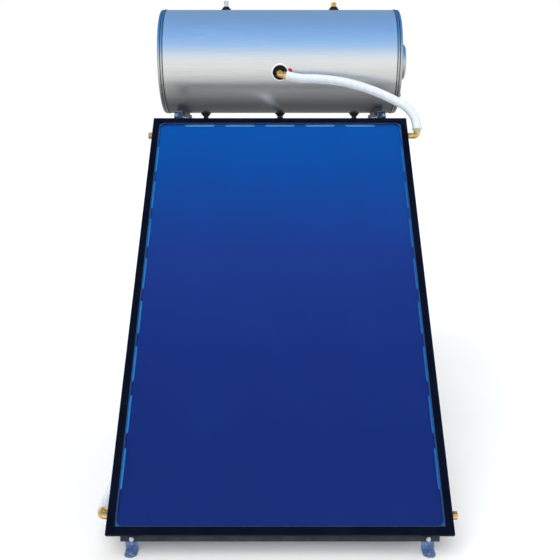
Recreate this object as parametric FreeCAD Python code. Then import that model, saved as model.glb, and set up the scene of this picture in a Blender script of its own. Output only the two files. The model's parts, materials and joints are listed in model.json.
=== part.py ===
import FreeCAD, Part
import math
import os
from FreeCAD import Vector

# Thermosiphon solar water heater on a ground stand. Millimetres, +Z up, +X to the right
# when facing the glass, +Y towards the back. The origin lies on the ground, at the centre
# of the rectangle of the four anchor holes.

os.makedirs("parts", exist_ok=True)

# ---- driving dimensions -------------------------------------------------------------
TILT = 45.0                    # collector slope, degrees
TOE_Y, TOE_Z = -1049.0, 101.0  # lower front edge of the collector
COL_W, COL_L, COL_D = 1250.0, 2040.0, 75.0
LIP_W, FRAME_D, FRAME_T = 30.0, 20.0, 2.0

AXIS_Y, AXIS_Z = 770.0, 1832.0  # tank axis, which runs along X
TANK_R, TANK_HALF, SKIN_T = 265.0, 597.5, 1.5
VESSEL_R, VESSEL_HALF, VESSEL_SAG, VESSEL_T = 205.0, 500.0, 50.0, 3.0
JACKET_R, JACKET_HALF, JACKET_T = 215.0, 350.0, 2.0

RAIL_X, RAIL_W, STEEL_T = 520.0, 37.0, 3.0   # side frames of the stand
RAIL_DEPTH = 37.0
ANCHOR_X, ANCHOR_Y, ANCHOR_R = 543.0, 1010.0, 5.5
FOOT_W, FOOT_T, FOOT_H, FOOT_LIP_H = 46.0, 4.0, 57.0, 38.0

SOFT_GAP = 0.3                 # soft parts stand this clear of their neighbours

# ---- ports of the tank --------------------------------------------------------------
TOP_PORT_X = 283.0
BOTTOM_PORT_X = 400.0
FLOW_ANGLE = 14.0              # front port, degrees below the horizontal
NIPPLE_R, NIPPLE_BORE = 13.2, 9.5
STUB_R, STUB_BORE, STUB_END = 12.0, 9.0, 296.0
FILL_R, FILL_BORE = 10.5, 7.0
NECK_R, THREAD_START = 12.6, 283.0
NIPPLE_TOP = 303.0

# ---- plumbing -----------------------------------------------------------------------
PIPE_R, SLEEVE_R = 9.0, 22.5
HEADER_R, HEADER_BORE, HEADER_N = 11.0, 10.0, -38.0
HEADER_LOW_S, HEADER_HIGH_S = 81.0, 1958.0
HEADER_END_X = 612.0
FLOW_ELBOW_X, RETURN_ELBOW_X = 677.0, -654.0
ELBOW_R = 14.0

M8_R, M8_FLATS, M8_HEAD, M8_NUT = 4.0, 13.0, 5.3, 6.5
WASHER_R, WASHER_T = 8.5, 1.6
HOLE_SLACK = 0.3

X_AXIS, Y_AXIS, Z_AXIS = Vector(1, 0, 0), Vector(0, 1, 0), Vector(0, 0, 1)
SIN_T, COS_T = math.sin(math.radians(TILT)), math.cos(math.radians(TILT))
SLOPE_UP = Vector(0, COS_T, SIN_T)
SLOPE_OUT = Vector(0, -SIN_T, COS_T)
DOWN = Vector(0, 0, -1)
FRONT_PORT = Vector(0, -math.cos(math.radians(FLOW_ANGLE)), -math.sin(math.radians(FLOW_ANGLE)))


# ---- shape helpers ------------------------------------------------------------------
def box(x0, x1, y0, y1, z0, z1):
    return Part.makeBox(x1 - x0, y1 - y0, z1 - z0, Vector(x0, y0, z0))


def rod(start, end, radius):
    run = end - start
    return Part.makeCylinder(radius, run.Length, start, run)


def pipe(start, end, radius, bore):
    run = (end - start).normalize()
    return rod(start, end, radius).cut(rod(start - run, end + run, bore))


def cone(start, end, radius_start, radius_end):
    run = end - start
    return Part.makeCone(radius_start, radius_end, run.Length, start, run)


def hexagon(start, end, flats):
    run = end - start
    side = run.cross(X_AXIS)
    if side.Length < 1e-6 * run.Length:
        side = run.cross(Y_AXIS)
    side = side.normalize()
    other = run.cross(side).normalize()
    reach = flats / math.sqrt(3)
    turns = [math.radians(60 * k) for k in range(6)]
    ring = [start + side * (reach * math.cos(a)) + other * (reach * math.sin(a)) for a in turns]
    return Part.Face(Part.makePolygon(ring + [ring[0]])).extrude(run)


def prism_x(outline, x0, x1):
    """A prism along X from (y, z) points."""
    points = [Vector(x0, y, z) for y, z in outline]
    return Part.Face(Part.makePolygon(points + [points[0]])).extrude(Vector(x1 - x0, 0, 0))


def rounded_slab(half_w, s0, s1, radius, n0, n1):
    """A slab in slope coordinates with four round corners in plan."""
    slab = box(-half_w, half_w, s0, s1, n0, n1)
    corners = [e for e in slab.Edges if abs(e.Vertexes[0].Z - e.Vertexes[1].Z) > abs(n1 - n0) / 2]
    return slab.makeFillet(radius, corners)


def revolve_x(profile):
    """A solid of revolution about the tank axis. The profile holds (x, r) points; a point
    with a third value "arc" is the middle of an arc between its neighbours."""
    def place(point):
        return Vector(point[0], AXIS_Y, AXIS_Z + point[1])
    edges = []
    ring = profile + [profile[0]]
    k = 0
    while k < len(ring) - 1:
        if len(ring[k + 1]) == 3:
            edges.append(Part.Arc(place(ring[k]), place(ring[k + 1]), place(ring[k + 2])).toShape())
            k += 2
        else:
            edges.append(Part.LineSegment(place(ring[k]), place(ring[k + 1])).toShape())
            k += 1
    return Part.Face(Part.Wire(edges)).revolve(Vector(0, AXIS_Y, AXIS_Z), X_AXIS, 360)


def drum(half, radius, sag):
    """A closed drum along the tank axis with shallow dished ends."""
    dish = (radius ** 2 + sag ** 2) / (2 * sag)
    mid_r = radius / 2
    mid_x = half + sag - dish + math.sqrt(dish ** 2 - mid_r ** 2)
    return revolve_x([(-half - sag, 0), (-mid_x, mid_r, "arc"), (-half, radius), (half, radius),
                      (mid_x, mid_r, "arc"), (half + sag, 0)])


def axis_point(x, reach=0.0, direction=DOWN):
    return Vector(x, AXIS_Y, AXIS_Z) + direction * reach


def axis_rod(x0, x1, radius):
    return rod(axis_point(x0), axis_point(x1), radius)


def end_point(x, y, z):
    """A point given from the tank axis."""
    return Vector(x, AXIS_Y + y, AXIS_Z + z)


def on_slope(shape):
    """Carry a shape from slope coordinates (x, s, n) to the object's frame."""
    placed = shape.copy()
    placed.rotate(Vector(0, 0, 0), X_AXIS, TILT)
    placed.translate(Vector(0, TOE_Y, TOE_Z))
    return placed


def slope_point(x, s, n):
    return Vector(x, TOE_Y, TOE_Z) + SLOPE_UP * s + SLOPE_OUT * n


def slope_z(y, n):
    """Height of the plane n at the depth y."""
    return TOE_Z + (y - TOE_Y) * SIN_T / COS_T + n / COS_T


def mirror_x(shape):
    return shape.mirror(Vector(0, 0, 0), X_AXIS)


def both_sides(solids):
    return solids + [mirror_x(solid) for solid in solids]


def rounded_path(points, radii):
    """Straight runs joined by tangent arcs, one radius for each inner point."""
    edges = []
    here = points[0]
    for corner, after, radius in zip(points[1:-1], points[2:], radii):
        back = (here - corner).normalize()
        ahead = (after - corner).normalize()
        half_turn = (math.pi - back.getAngle(ahead)) / 2
        tangent = radius * math.tan(half_turn)
        middle = (back + ahead).normalize()
        centre = corner + middle * (radius / math.cos(half_turn))
        leave, join = corner + back * tangent, corner + ahead * tangent
        edges.append(Part.LineSegment(here, leave).toShape())
        edges.append(Part.Arc(leave, centre - middle * radius, join).toShape())
        here = join
    edges.append(Part.LineSegment(here, points[-1]).toShape())
    return Part.Wire(edges)


def sweep(path, radius):
    first = path.Edges[0]
    start = first.valueAt(first.FirstParameter)
    tangent = first.tangentAt(first.FirstParameter)
    ring = Part.Wire(Part.makeCircle(radius, start, tangent))
    return path.makePipeShell([ring], True, False)


def save(name, *solids):
    shape = solids[0] if len(solids) == 1 else Part.makeCompound(list(solids))
    if len(shape.Solids) == 1:
        shape = shape.Solids[0]
    if not shape.isValid():
        print("INVALID", name)
    shape.exportStep("parts/" + name + ".step")
    print(name, len(shape.Solids), round(shape.Volume))


# ---- fasteners ----------------------------------------------------------------------
def bolt_set(seat, axis, grip, tail=12.0):
    """Hex bolt with washer and nut. The seat lies on the outer face under the washer and
    the axis runs from the head to the nut."""
    head_face = seat - axis * WASHER_T
    shank = rod(head_face, seat + axis * (grip + tail), M8_R)
    bolt = shank.fuse(hexagon(head_face - axis * M8_HEAD, head_face, M8_FLATS))
    washer = pipe(head_face, seat, WASHER_R, M8_R)
    nut_start = seat + axis * grip
    nut = hexagon(nut_start, nut_start + axis * M8_NUT, M8_FLATS).cut(shank)
    return [bolt, washer, nut]


def drill(shape, bolts):
    """Clearance holes for every bolt that passes through the shape."""
    for seat, axis, grip in bolts:
        hole = rod(seat - axis, seat + axis * (grip + 1), M8_R + HOLE_SLACK)
        if shape.BoundBox.intersect(hole.BoundBox):
            shape = shape.cut(hole)
    return shape


# ---- bolts of the stand: seat, axis from head to nut, grip ----------------------------
FOOT_BOLT_Z, REAR_BOLT_X = 48.0, 530.0
FRONT_FACE_Y = -985.0                    # front rail's upright face
LEG_FACE_Y = 978.0                       # rear face of the rear legs
BRACE_W, BRACE_T = 30.0, 4.0
BRACE_LOW_Z, BRACE_HIGH_Z = 150.0, 1400.0
WEB_X = RAIL_X - RAIL_W / 2              # outer face of the inner webs
CROSS_X = 584.0                          # half length of the cross rails
CLAMP_S = 2133.0
WEB_GRIP = 2 * STEEL_T
INNER_X = WEB_X - STEEL_T
OUTER_X = WEB_X + STEEL_T
WEB_BOLTS = [(-905.0, 97.0), (958.0, 90.0), (537.0, 1543.0), (958.0, 1525.0)]

RIGHT_BOLTS = (
    [(Vector(OUTER_X, y, z), -X_AXIS, WEB_GRIP) for y, z in WEB_BOLTS]
    + [(Vector(ANCHOR_X, FRONT_FACE_Y, FOOT_BOLT_Z), Y_AXIS, STEEL_T + FOOT_T)]
    + [(Vector(REAR_BOLT_X, LEG_FACE_Y + FOOT_T, FOOT_BOLT_Z), -Y_AXIS, STEEL_T + FOOT_T)]
    + [(slope_point(RAIL_X + 7.5, CLAMP_S, -COL_D), -SLOPE_OUT, 2 * STEEL_T)]
    + [(Vector(RAIL_X + 4, LEG_FACE_Y + 2 * BRACE_T, z), -Y_AXIS, STEEL_T + 2 * BRACE_T)
       for z in (BRACE_LOW_Z, BRACE_HIGH_Z)]
    + [(Vector(RAIL_X, AXIS_Y, AXIS_Z - TANK_R - 3.3), Z_AXIS, 3.5 + SKIN_T)]
)


def mirrored_bolt(bolt):
    seat, axis, grip = bolt
    return Vector(-seat.x, seat.y, seat.z), Vector(-axis.x, axis.y, axis.z), grip


STAND_BOLTS = RIGHT_BOLTS + [mirrored_bolt(bolt) for bolt in RIGHT_BOLTS]


# ---- tank -----------------------------------------------------------------------------
PORT_DIRECTIONS = [(TOP_PORT_X, Z_AXIS), (-TOP_PORT_X, Z_AXIS), (-BOTTOM_PORT_X, DOWN),
                   (BOTTOM_PORT_X, DOWN), (0.0, DOWN), (0.0, FRONT_PORT)]
COVER_FACE_X = 628.0
COVER_SCREW_R = 98.0
SERVICE_R = 84.0
GLAND_DROP = 170.0


def port_holes(radius, reach):
    """Round holes through the tank's wall at every port."""
    return [rod(axis_point(x), axis_point(x, reach, way), radius) for x, way in PORT_DIRECTIONS]


def tank_jacket():
    skin = pipe(axis_point(-TANK_HALF), axis_point(TANK_HALF), TANK_R, TANK_R - SKIN_T)
    for hole in port_holes(NIPPLE_R + 1, TANK_R + 20):
        skin = skin.cut(hole)
    return drill(skin, STAND_BOLTS)


def end_cap(opening_r):
    """A pressed end cap, drawn for the right end, with a rolled seam over the jacket."""
    shoulder, face, flat_r, bend = 612.0, 618.0, 110.0, 6.0
    corner = bend * (1 - math.cos(math.radians(45)))
    t = SKIN_T
    outer = [(TANK_HALF, TANK_R), (shoulder, TANK_R), (face - corner, TANK_R - corner, "arc"),
             (face, TANK_R - bend), (COVER_FACE_X, flat_r), (COVER_FACE_X, opening_r)]
    inner = [(COVER_FACE_X - t, opening_r), (COVER_FACE_X - t, flat_r - t), (face - t, TANK_R - bend),
             (face - corner - t / 2, TANK_R - corner - t / 2, "arc"), (shoulder, TANK_R - t),
             (TANK_HALF, TANK_R - t)]
    bead = pipe(axis_point(TANK_HALF - 4), axis_point(TANK_HALF + 4), TANK_R + 2, TANK_R)
    return revolve_x(outer + inner).fuse(bead).removeSplitter()


def cover_screw_places():
    turns = [math.radians(45 + 90 * k) for k in range(4)]
    return [(COVER_SCREW_R * math.cos(a), COVER_SCREW_R * math.sin(a)) for a in turns]


SCREW_R, SCREW_FIT = 2.1, 0.08


def end_cap_right():
    cap = end_cap(SERVICE_R)
    for y, z in cover_screw_places():
        cap = cap.cut(rod(end_point(COVER_FACE_X - 10, y, z), end_point(COVER_FACE_X + 10, y, z),
                          SCREW_R + SCREW_FIT))
    gland_hole = rod(end_point(600, 0, -GLAND_DROP), end_point(650, 0, -GLAND_DROP), 10)
    return cap.cut(gland_hole)


def end_cap_left():
    return mirror_x(end_cap(0.0))


def service_cover():
    """A round domed cover with a flat rim, over the opening in the right end cap."""
    x0, t, rim_r, wall_r, deep = COVER_FACE_X, 2.0, 105.0, 92.0, 34.0
    bend = 14.0
    mid = bend * (1 - math.cos(math.radians(45)))
    top = x0 + deep
    shell = revolve_x([
        (x0, rim_r), (x0 + t, rim_r), (x0 + t, wall_r), (top - bend, wall_r),
        (top - mid, wall_r - mid, "arc"), (top, wall_r - bend), (top + 2, 0), (top + 2 - t, 0),
        (top - t, wall_r - bend), (top - mid - t, wall_r - mid - t, "arc"),
        (top - bend, wall_r - t), (x0, wall_r - t)])
    for y, z in cover_screw_places():
        shell = shell.cut(rod(end_point(x0 - 1, y, z), end_point(x0 + t + 1, y, z), SCREW_R))
    return shell


def cover_screws():
    x0, t = COVER_FACE_X, 2.0
    screws = []
    for y, z in cover_screw_places():
        shank = rod(end_point(x0 - 8, y, z), end_point(x0 + t, y, z), SCREW_R)
        head = cone(end_point(x0 + t, y, z), end_point(x0 + t + 2.4, y, z), 4.2, 2.6)
        screws.append(shank.fuse(head))
    return screws


def inner_vessel():
    shell = drum(VESSEL_HALF, VESSEL_R, VESSEL_SAG)
    neck = axis_rod(530, 572, 65).fuse(axis_rod(564, 572, 85))
    shell = shell.fuse(neck).cut(drum(VESSEL_HALF, VESSEL_R - VESSEL_T, VESSEL_SAG - VESSEL_T))
    shell = shell.cut(axis_rod(500, 575, 62))
    water_ports = [(TOP_PORT_X, Z_AXIS), (-BOTTOM_PORT_X, DOWN), (BOTTOM_PORT_X, DOWN)]
    for x, way in water_ports:
        shell = shell.cut(rod(axis_point(x, 150, way), axis_point(x, 220, way), NIPPLE_BORE))
    for hole in flange_holes():
        shell = shell.cut(hole)
    return shell.removeSplitter()


def heat_jacket():
    """The ring-shaped jacket round the vessel, with its three welded stubs."""
    t, half, inside = JACKET_T, JACKET_HALF, JACKET_R - JACKET_T
    shell = revolve_x([(-half, VESSEL_R), (-half, JACKET_R), (half, JACKET_R), (half, VESSEL_R),
                       (half - t, VESSEL_R), (half - t, inside), (t - half, inside), (t - half, VESSEL_R)])
    stubs = [(0.0, DOWN, STUB_R, STUB_BORE, STUB_END), (0.0, FRONT_PORT, STUB_R, STUB_BORE, STUB_END),
             (-TOP_PORT_X, Z_AXIS, FILL_R, FILL_BORE, 288.0)]
    for x, way, radius, bore, reach in stubs:
        shell = shell.fuse(rod(axis_point(x, JACKET_R - t / 2, way), axis_point(x, reach, way), radius))
    for x, way, radius, bore, reach in stubs:
        shell = shell.cut(rod(axis_point(x, inside - 5, way), axis_point(x, reach + 1, way), bore))
    outlet = rod(axis_point(TOP_PORT_X, 200, Z_AXIS), axis_point(TOP_PORT_X, 230, Z_AXIS), NECK_R)
    return shell.cut(outlet).removeSplitter()


def foam_insulation():
    gap = SOFT_GAP
    foam = axis_rod(-TANK_HALF + 1, TANK_HALF - 1, TANK_R - SKIN_T - gap)
    foam = foam.cut(drum(VESSEL_HALF + gap, VESSEL_R + gap, VESSEL_SAG))
    foam = foam.cut(axis_rod(-JACKET_HALF - gap, JACKET_HALF + gap, JACKET_R + gap))
    foam = foam.cut(axis_rod(530, TANK_HALF, 100))
    for hole in port_holes(NIPPLE_R + gap, TANK_R + 20):
        foam = foam.cut(hole)
    for side in (-1, 1):
        foam = foam.cut(rod(axis_point(side * RAIL_X, TANK_R), axis_point(side * RAIL_X, TANK_R - 28), 12))
    return foam


FLANGE_BOLT_R = 74.0


def flange_bolt_places():
    turns = [math.radians(60 * k + 30) for k in range(6)]
    return [(FLANGE_BOLT_R * math.cos(a), FLANGE_BOLT_R * math.sin(a)) for a in turns]


def flange_holes():
    return [rod(end_point(556, y, z), end_point(590, y, z), M8_R + HOLE_SLACK)
            for y, z in flange_bolt_places()]


ELEMENT_Z, ELEMENT_Y, ELEMENT_R = -32.0, 22.0, 4.2
ANODE_Z, STEM_R = 38.0, 4.0


def heater_flange():
    plate = axis_rod(574, 582, 85)
    openings = [(ELEMENT_Y, ELEMENT_Z, ELEMENT_R), (-ELEMENT_Y, ELEMENT_Z, ELEMENT_R),
                (0, ANODE_Z, STEM_R), (0, 0, STEM_R)]
    for y, z, radius in openings:
        plate = plate.cut(rod(end_point(570, y, z), end_point(590, y, z), radius))
    for hole in flange_holes():
        plate = plate.cut(hole)
    return plate


def flange_gasket():
    gasket = pipe(axis_point(572), axis_point(574), 85, 63)
    for hole in flange_holes():
        gasket = gasket.cut(hole)
    return gasket


def flange_bolts():
    pieces = []
    for y, z in flange_bolt_places():
        pieces += bolt_set(end_point(582, y, z), -X_AXIS, 18, 9)
    return pieces


def heating_element():
    ends = [end_point(596, ELEMENT_Y, ELEMENT_Z), end_point(230, ELEMENT_Y, ELEMENT_Z),
            end_point(230, -ELEMENT_Y, ELEMENT_Z), end_point(596, -ELEMENT_Y, ELEMENT_Z)]
    return sweep(rounded_path(ends, [ELEMENT_Y - 2, ELEMENT_Y - 2]), ELEMENT_R)


def anode_rod():
    stud = rod(end_point(570, 0, ANODE_Z), end_point(590, 0, ANODE_Z), STEM_R)
    return stud.fuse(rod(end_point(260, 0, ANODE_Z), end_point(574, 0, ANODE_Z), 11))


DIAL_X, DIAL_R, SPINDLE_R, SPINDLE_FIT = 611.0, 17.0, 3.0, 0.05


def thermostat_body():
    half_w = 22.0
    body = box(582, 610, AXIS_Y - half_w, AXIS_Y + half_w, AXIS_Z - 18, AXIS_Z + 22)
    body = body.makeFillet(2.5, [e for e in body.Edges if abs(e.BoundBox.XMin - 610) < 0.01])
    body = body.fuse(axis_rod(380, 582, STEM_R))
    return body.cut(axis_rod(600, 612, SPINDLE_R + SPINDLE_FIT))


def thermostat_dial():
    dial = axis_rod(DIAL_X, DIAL_X + 9, DIAL_R).fuse(axis_rod(602, DIAL_X, SPINDLE_R))
    pointer = box(DIAL_X + 7, DIAL_X + 10, AXIS_Y - 1.5, AXIS_Y + 1.5, AXIS_Z + 6, AXIS_Z + DIAL_R)
    return dial.fuse(pointer)


def cable_gland():
    base = hexagon(end_point(626.5, 0, -GLAND_DROP), end_point(632, 0, -GLAND_DROP), 27)
    thread = rod(end_point(612, 0, -GLAND_DROP), end_point(626.5, 0, -GLAND_DROP), 9.7)
    nut = cone(end_point(632, 0, -GLAND_DROP), end_point(648, 0, -GLAND_DROP), 12.5, 8.5)
    bore = rod(end_point(600, 0, -GLAND_DROP), end_point(660, 0, -GLAND_DROP), 4.5)
    return base.fuse([thread, nut]).cut(bore)


def water_nipple(x, way, reach):
    """A welded nipple: a plain neck from the vessel and a thicker threaded end."""
    nipple = rod(axis_point(x, 190, way), axis_point(x, THREAD_START, way), NECK_R)
    nipple = nipple.fuse(rod(axis_point(x, THREAD_START, way), axis_point(x, reach, way), NIPPLE_R))
    nipple = nipple.cut(axis_rod(-VESSEL_HALF, VESSEL_HALF, VESSEL_R))
    return nipple.cut(rod(axis_point(x, 150, way), axis_point(x, reach + 1, way), NIPPLE_BORE))


VALVE_R = 12.5
VALVE_CAP_LOW = 299.0


def relief_valve_body():
    def at(reach):
        return axis_point(-TOP_PORT_X, reach, Z_AXIS)
    body = hexagon(at(283), at(291), 24).fuse(rod(at(291), at(298), VALVE_R - 1.5))
    return body.cut(rod(at(280), at(288), FILL_R)).cut(rod(at(287), at(300), SPINDLE_R + SPINDLE_FIT))


def relief_valve_cap():
    def at(reach):
        return axis_point(-TOP_PORT_X, reach, Z_AXIS)
    cap = rod(at(VALVE_CAP_LOW), at(312), VALVE_R)
    for k in range(8):
        turn = math.radians(45 * k)
        rib = Vector(math.cos(turn), math.sin(turn), 0) * (VALVE_R + 1)
        cap = cap.cut(rod(at(VALVE_CAP_LOW - 1) + rib, at(313) + rib, 2))
    return cap.fuse(rod(at(290), at(VALVE_CAP_LOW), SPINDLE_R))


def port_grommet(x, way, stub_r):
    """A rubber cone that seals the jacket round a port."""
    plug = cone(axis_point(x, 255, way), axis_point(x, 282, way), 36, stub_r + 3)
    plug = plug.cut(axis_rod(-TANK_HALF, TANK_HALF, TANK_R + SOFT_GAP))
    return plug.cut(rod(axis_point(x, 200, way), axis_point(x, 300, way), stub_r + SOFT_GAP))


def front_grommet():
    plug = rod(axis_point(0, 240, FRONT_PORT), axis_point(0, 275, FRONT_PORT), 36)
    plug = plug.cut(axis_rod(-60, 60, TANK_R + SOFT_GAP)).common(axis_rod(-60, 60, TANK_R + 6))
    boss = cone(axis_point(0, 268, FRONT_PORT), axis_point(0, 280, FRONT_PORT), 22, 17)
    return plug.fuse(boss).cut(rod(axis_point(0, 200, FRONT_PORT), axis_point(0, 300, FRONT_PORT),
                                   STUB_R + SOFT_GAP))


def hot_marker():
    """A small round red tag beside the hot inlet."""
    angle = math.radians(FLOW_ANGLE - 2)
    way = Vector(0, -math.cos(angle), -math.sin(angle))
    disc = rod(axis_point(50, 240, way), axis_point(50, 280, way), 12)
    return disc.cut(axis_rod(0, 100, TANK_R)).common(axis_rod(0, 100, TANK_R + 1.5))


def make_tank():
    save("tank_jacket", tank_jacket())
    save("end_cap_left", end_cap_left())
    save("end_cap_right", end_cap_right())
    save("service_cover", service_cover())
    save("cover_screws", *cover_screws())
    save("inner_vessel", inner_vessel())
    save("heat_jacket", heat_jacket())
    save("foam_insulation", foam_insulation())
    save("heater_flange", heater_flange())
    save("flange_gasket", flange_gasket())
    save("flange_bolts", *flange_bolts())
    save("heating_element", heating_element())
    save("anode_rod", anode_rod())
    save("thermostat_body", thermostat_body())
    save("thermostat_dial", thermostat_dial())
    save("cable_gland", cable_gland())
    save("hot_outlet_nipple", water_nipple(TOP_PORT_X, Z_AXIS, NIPPLE_TOP))
    save("bottom_nipples", *[water_nipple(x, DOWN, 305.0) for x in (-BOTTOM_PORT_X, BOTTOM_PORT_X)])
    save("relief_valve_body", relief_valve_body())
    save("relief_valve_cap", relief_valve_cap())
    grommets = [port_grommet(x, DOWN, NIPPLE_R) for x in (-BOTTOM_PORT_X, BOTTOM_PORT_X)]
    grommets += [port_grommet(0.0, DOWN, STUB_R), port_grommet(TOP_PORT_X, Z_AXIS, NIPPLE_R),
                 port_grommet(-TOP_PORT_X, Z_AXIS, FILL_R)]
    save("port_grommets", *grommets)
    save("front_grommet", front_grommet())
    save("hot_marker", hot_marker())


# ---- collector ------------------------------------------------------------------------
def frame_section(half_length):
    """A straight bar of the frame's profile along X, outer edge at s = 0, mitred ends."""
    t = FRAME_T
    wall = box(-half_length, half_length, 0, t, -FRAME_D, 0)
    lip = box(-half_length, half_length, 0, LIP_W, -t, 0)
    ledge = box(-half_length, half_length, t, LIP_W - 4, -13, -11)
    foot = box(-half_length, half_length, t, LIP_W - 2, -FRAME_D, -FRAME_D + t)
    bar = wall.fuse([lip, ledge, foot]).removeSplitter()
    for side in (-1, 1):
        end = Vector(side * half_length, 0, -FRAME_D - 1)
        past = Vector(side * (half_length + 100), 0, -FRAME_D - 1)
        deep = Vector(side * (half_length - 60), 60, -FRAME_D - 1)
        far = Vector(side * (half_length + 100), 60, -FRAME_D - 1)
        corner = Part.Face(Part.makePolygon([end, past, far, deep, end]))
        bar = bar.cut(corner.extrude(Vector(0, 0, FRAME_D + 2)))
    return bar


def frame_bar(side):
    half = COL_W / 2 if side in ("top", "bottom") else COL_L / 2
    bar = frame_section(half)
    centre = Vector(0, 0, 0)
    if side == "top":
        bar.rotate(centre, Z_AXIS, 180)
        bar.translate(Vector(0, COL_L, 0))
    if side == "left":
        bar.rotate(centre, Z_AXIS, -90)
        bar.translate(Vector(-COL_W / 2, COL_L / 2, 0))
    if side == "right":
        bar.rotate(centre, Z_AXIS, 90)
        bar.translate(Vector(COL_W / 2, COL_L / 2, 0))
    return bar


TRAY_T, TRAY_CORNER = 1.5, 34.0
RIM_N = -9.5
HEADERS = (HEADER_LOW_S, HEADER_HIGH_S)


def header_holes(radius):
    reach = COL_W
    return [rod(Vector(-reach, s, HEADER_N), Vector(reach, s, HEADER_N), radius) for s in HEADERS]


def collector_tray():
    half, t = COL_W / 2 - LIP_W, TRAY_T
    flange = box(-COL_W / 2 + 4, COL_W / 2 - 4, 4, COL_L - 4, RIM_N - t, RIM_N)
    pan = rounded_slab(half, LIP_W, COL_L - LIP_W, TRAY_CORNER, -COL_D, RIM_N)
    hollow = rounded_slab(half - t, LIP_W + t, COL_L - LIP_W - t, TRAY_CORNER - t, -COL_D + t, 5)
    tray = flange.fuse(pan).cut(hollow).removeSplitter()
    for hole in header_holes(14):
        tray = tray.cut(hole)
    return tray


SLOT_ACROSS_L, SLOT_ALONG_L, SLOT_W = 143.0, 160.0, 9.0
SLOT_INSET = 35.0
SLOT_PITCH_X, SLOT_PITCH_S = 198.0, 219.5
SLOTS_ACROSS, SLOTS_ALONG = 5, 8
ABSORBER_N = -17.0


def slot(x, s, along_x):
    length = SLOT_ACROSS_L if along_x else SLOT_ALONG_L
    half, r = (length - SLOT_W) / 2, SLOT_W / 2
    low, high = ABSORBER_N - 2, ABSORBER_N + 1
    reach = (half, 0) if along_x else (0, half)
    grow = (half, r) if along_x else (r, half)
    cutter = box(x - grow[0], x + grow[0], s - grow[1], s + grow[1], low, high)
    for way in (-1, 1):
        cx, cs = x + way * reach[0], s + way * reach[1]
        cutter = cutter.fuse(rod(Vector(cx, cs, low), Vector(cx, cs, high), r))
    return cutter


def absorber_plate():
    plate = rounded_slab(592, LIP_W + 3, COL_L - LIP_W - 3, TRAY_CORNER - 4, ABSORBER_N - 1, ABSORBER_N)
    for k in range(SLOTS_ACROSS):
        x = (k - (SLOTS_ACROSS - 1) / 2) * SLOT_PITCH_X
        plate = plate.cut(slot(x, COL_L - SLOT_INSET, True))
    for k in range(SLOTS_ALONG):
        s = COL_L / 2 + (k - (SLOTS_ALONG - 1) / 2) * SLOT_PITCH_S
        for x in (-COL_W / 2 + SLOT_INSET, COL_W / 2 - SLOT_INSET):
            plate = plate.cut(slot(x, s, False))
    return plate


RISER_R, RISER_PITCH, RISER_COUNT = 5.0, 120.0, 10


def riser_tubes():
    n = ABSORBER_N - 1 - RISER_R
    tubes = []
    for k in range(RISER_COUNT):
        x = (k - (RISER_COUNT - 1) / 2) * RISER_PITCH
        tube = pipe(Vector(x, HEADER_LOW_S, n), Vector(x, HEADER_HIGH_S, n), RISER_R, RISER_R - 0.8)
        for hole in header_holes(HEADER_R):
            tube = tube.cut(hole)
        tubes.append(on_slope(tube))
    return tubes


def header(s):
    start, end = Vector(-HEADER_END_X, s, HEADER_N), Vector(HEADER_END_X, s, HEADER_N)
    return on_slope(pipe(start, end, HEADER_R, HEADER_BORE))


def glass():
    return box(-COL_W / 2 + 6, COL_W / 2 - 6, 6, COL_L - 6, -8, -4)


def glass_gasket():
    ring = box(-COL_W / 2 + 4, COL_W / 2 - 4, 4, COL_L - 4, RIM_N, -FRAME_T)
    inset = LIP_W - 3
    hollow = box(-COL_W / 2 + inset, COL_W / 2 - inset, inset, COL_L - inset, RIM_N - 1, 0)
    return ring.cut(hollow).cut(glass())


def header_grommets():
    rings = []
    for s in HEADERS:
        for side in (-1, 1):
            near, far = Vector(side * 591, s, HEADER_N), Vector(side * 599, s, HEADER_N)
            ring = pipe(near, far, 17, HEADER_R + SOFT_GAP)
            groove = pipe(Vector(side * 593.2, s, HEADER_N), Vector(side * 595.3, s, HEADER_N), 18, 13.7)
            rings.append(on_slope(ring.cut(groove)))
    return rings


def make_collector():
    for side in ("top", "bottom", "left", "right"):
        save("collector_frame_" + side, on_slope(frame_bar(side)))
    save("collector_tray", on_slope(collector_tray()))
    slab = rounded_slab(588, LIP_W + 6, COL_L - LIP_W - 6, 30, -COL_D + TRAY_T + SOFT_GAP, -50)
    save("collector_insulation", on_slope(slab))
    save("absorber_plate", on_slope(absorber_plate()))
    save("header_bottom", header(HEADER_LOW_S))
    save("header_top", header(HEADER_HIGH_S))
    save("riser_tubes", *riser_tubes())
    save("cover_glass", on_slope(glass()))
    save("glass_gasket", on_slope(glass_gasket()))
    save("header_grommets", *header_grommets())


# ---- plumbing -------------------------------------------------------------------------
SEAT_DEPTH = 12.0               # how far a pipe reaches into its elbow
SOCKET_DEPTH = SEAT_DEPTH + 0.5
BEND_R, PASSAGE_R = 16.0, 7.5
COLLAR_A, COLLAR_B = 11.0, 13.0


def elbow(corner, way_a, reach_a, bore_a, way_b):
    """A brass elbow with a hexagon collar on each arm. Arm a slips over its stub, arm b over
    the pipe."""
    end_a, end_b = corner + way_a * reach_a, corner + way_b * LEG
    wall = max(bore_a + 2.5, ELBOW_R)
    bend = rounded_path([end_a, corner, end_b], [BEND_R])
    body = sweep(bend, wall).fuse([hexagon(end_a - way_a * COLLAR_A, end_a, 2 * bore_a + 8),
                                   hexagon(end_b - way_b * COLLAR_B, end_b, 2 * wall + 4)])
    body = body.cut([rod(end_a - way_a * SOCKET_DEPTH, end_a + way_a, bore_a),
                     rod(end_b - way_b * SOCKET_DEPTH, end_b + way_b, PIPE_R),
                     sweep(bend, PASSAGE_R)])
    return body.removeSplitter()


ELBOW_CORNER = 315.0            # from the tank axis to the corner of a tank elbow
LEG = 30.0                      # from an elbow's corner to the end of its pipe arm
TANK_ARM = ELBOW_CORNER - 284.0

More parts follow.
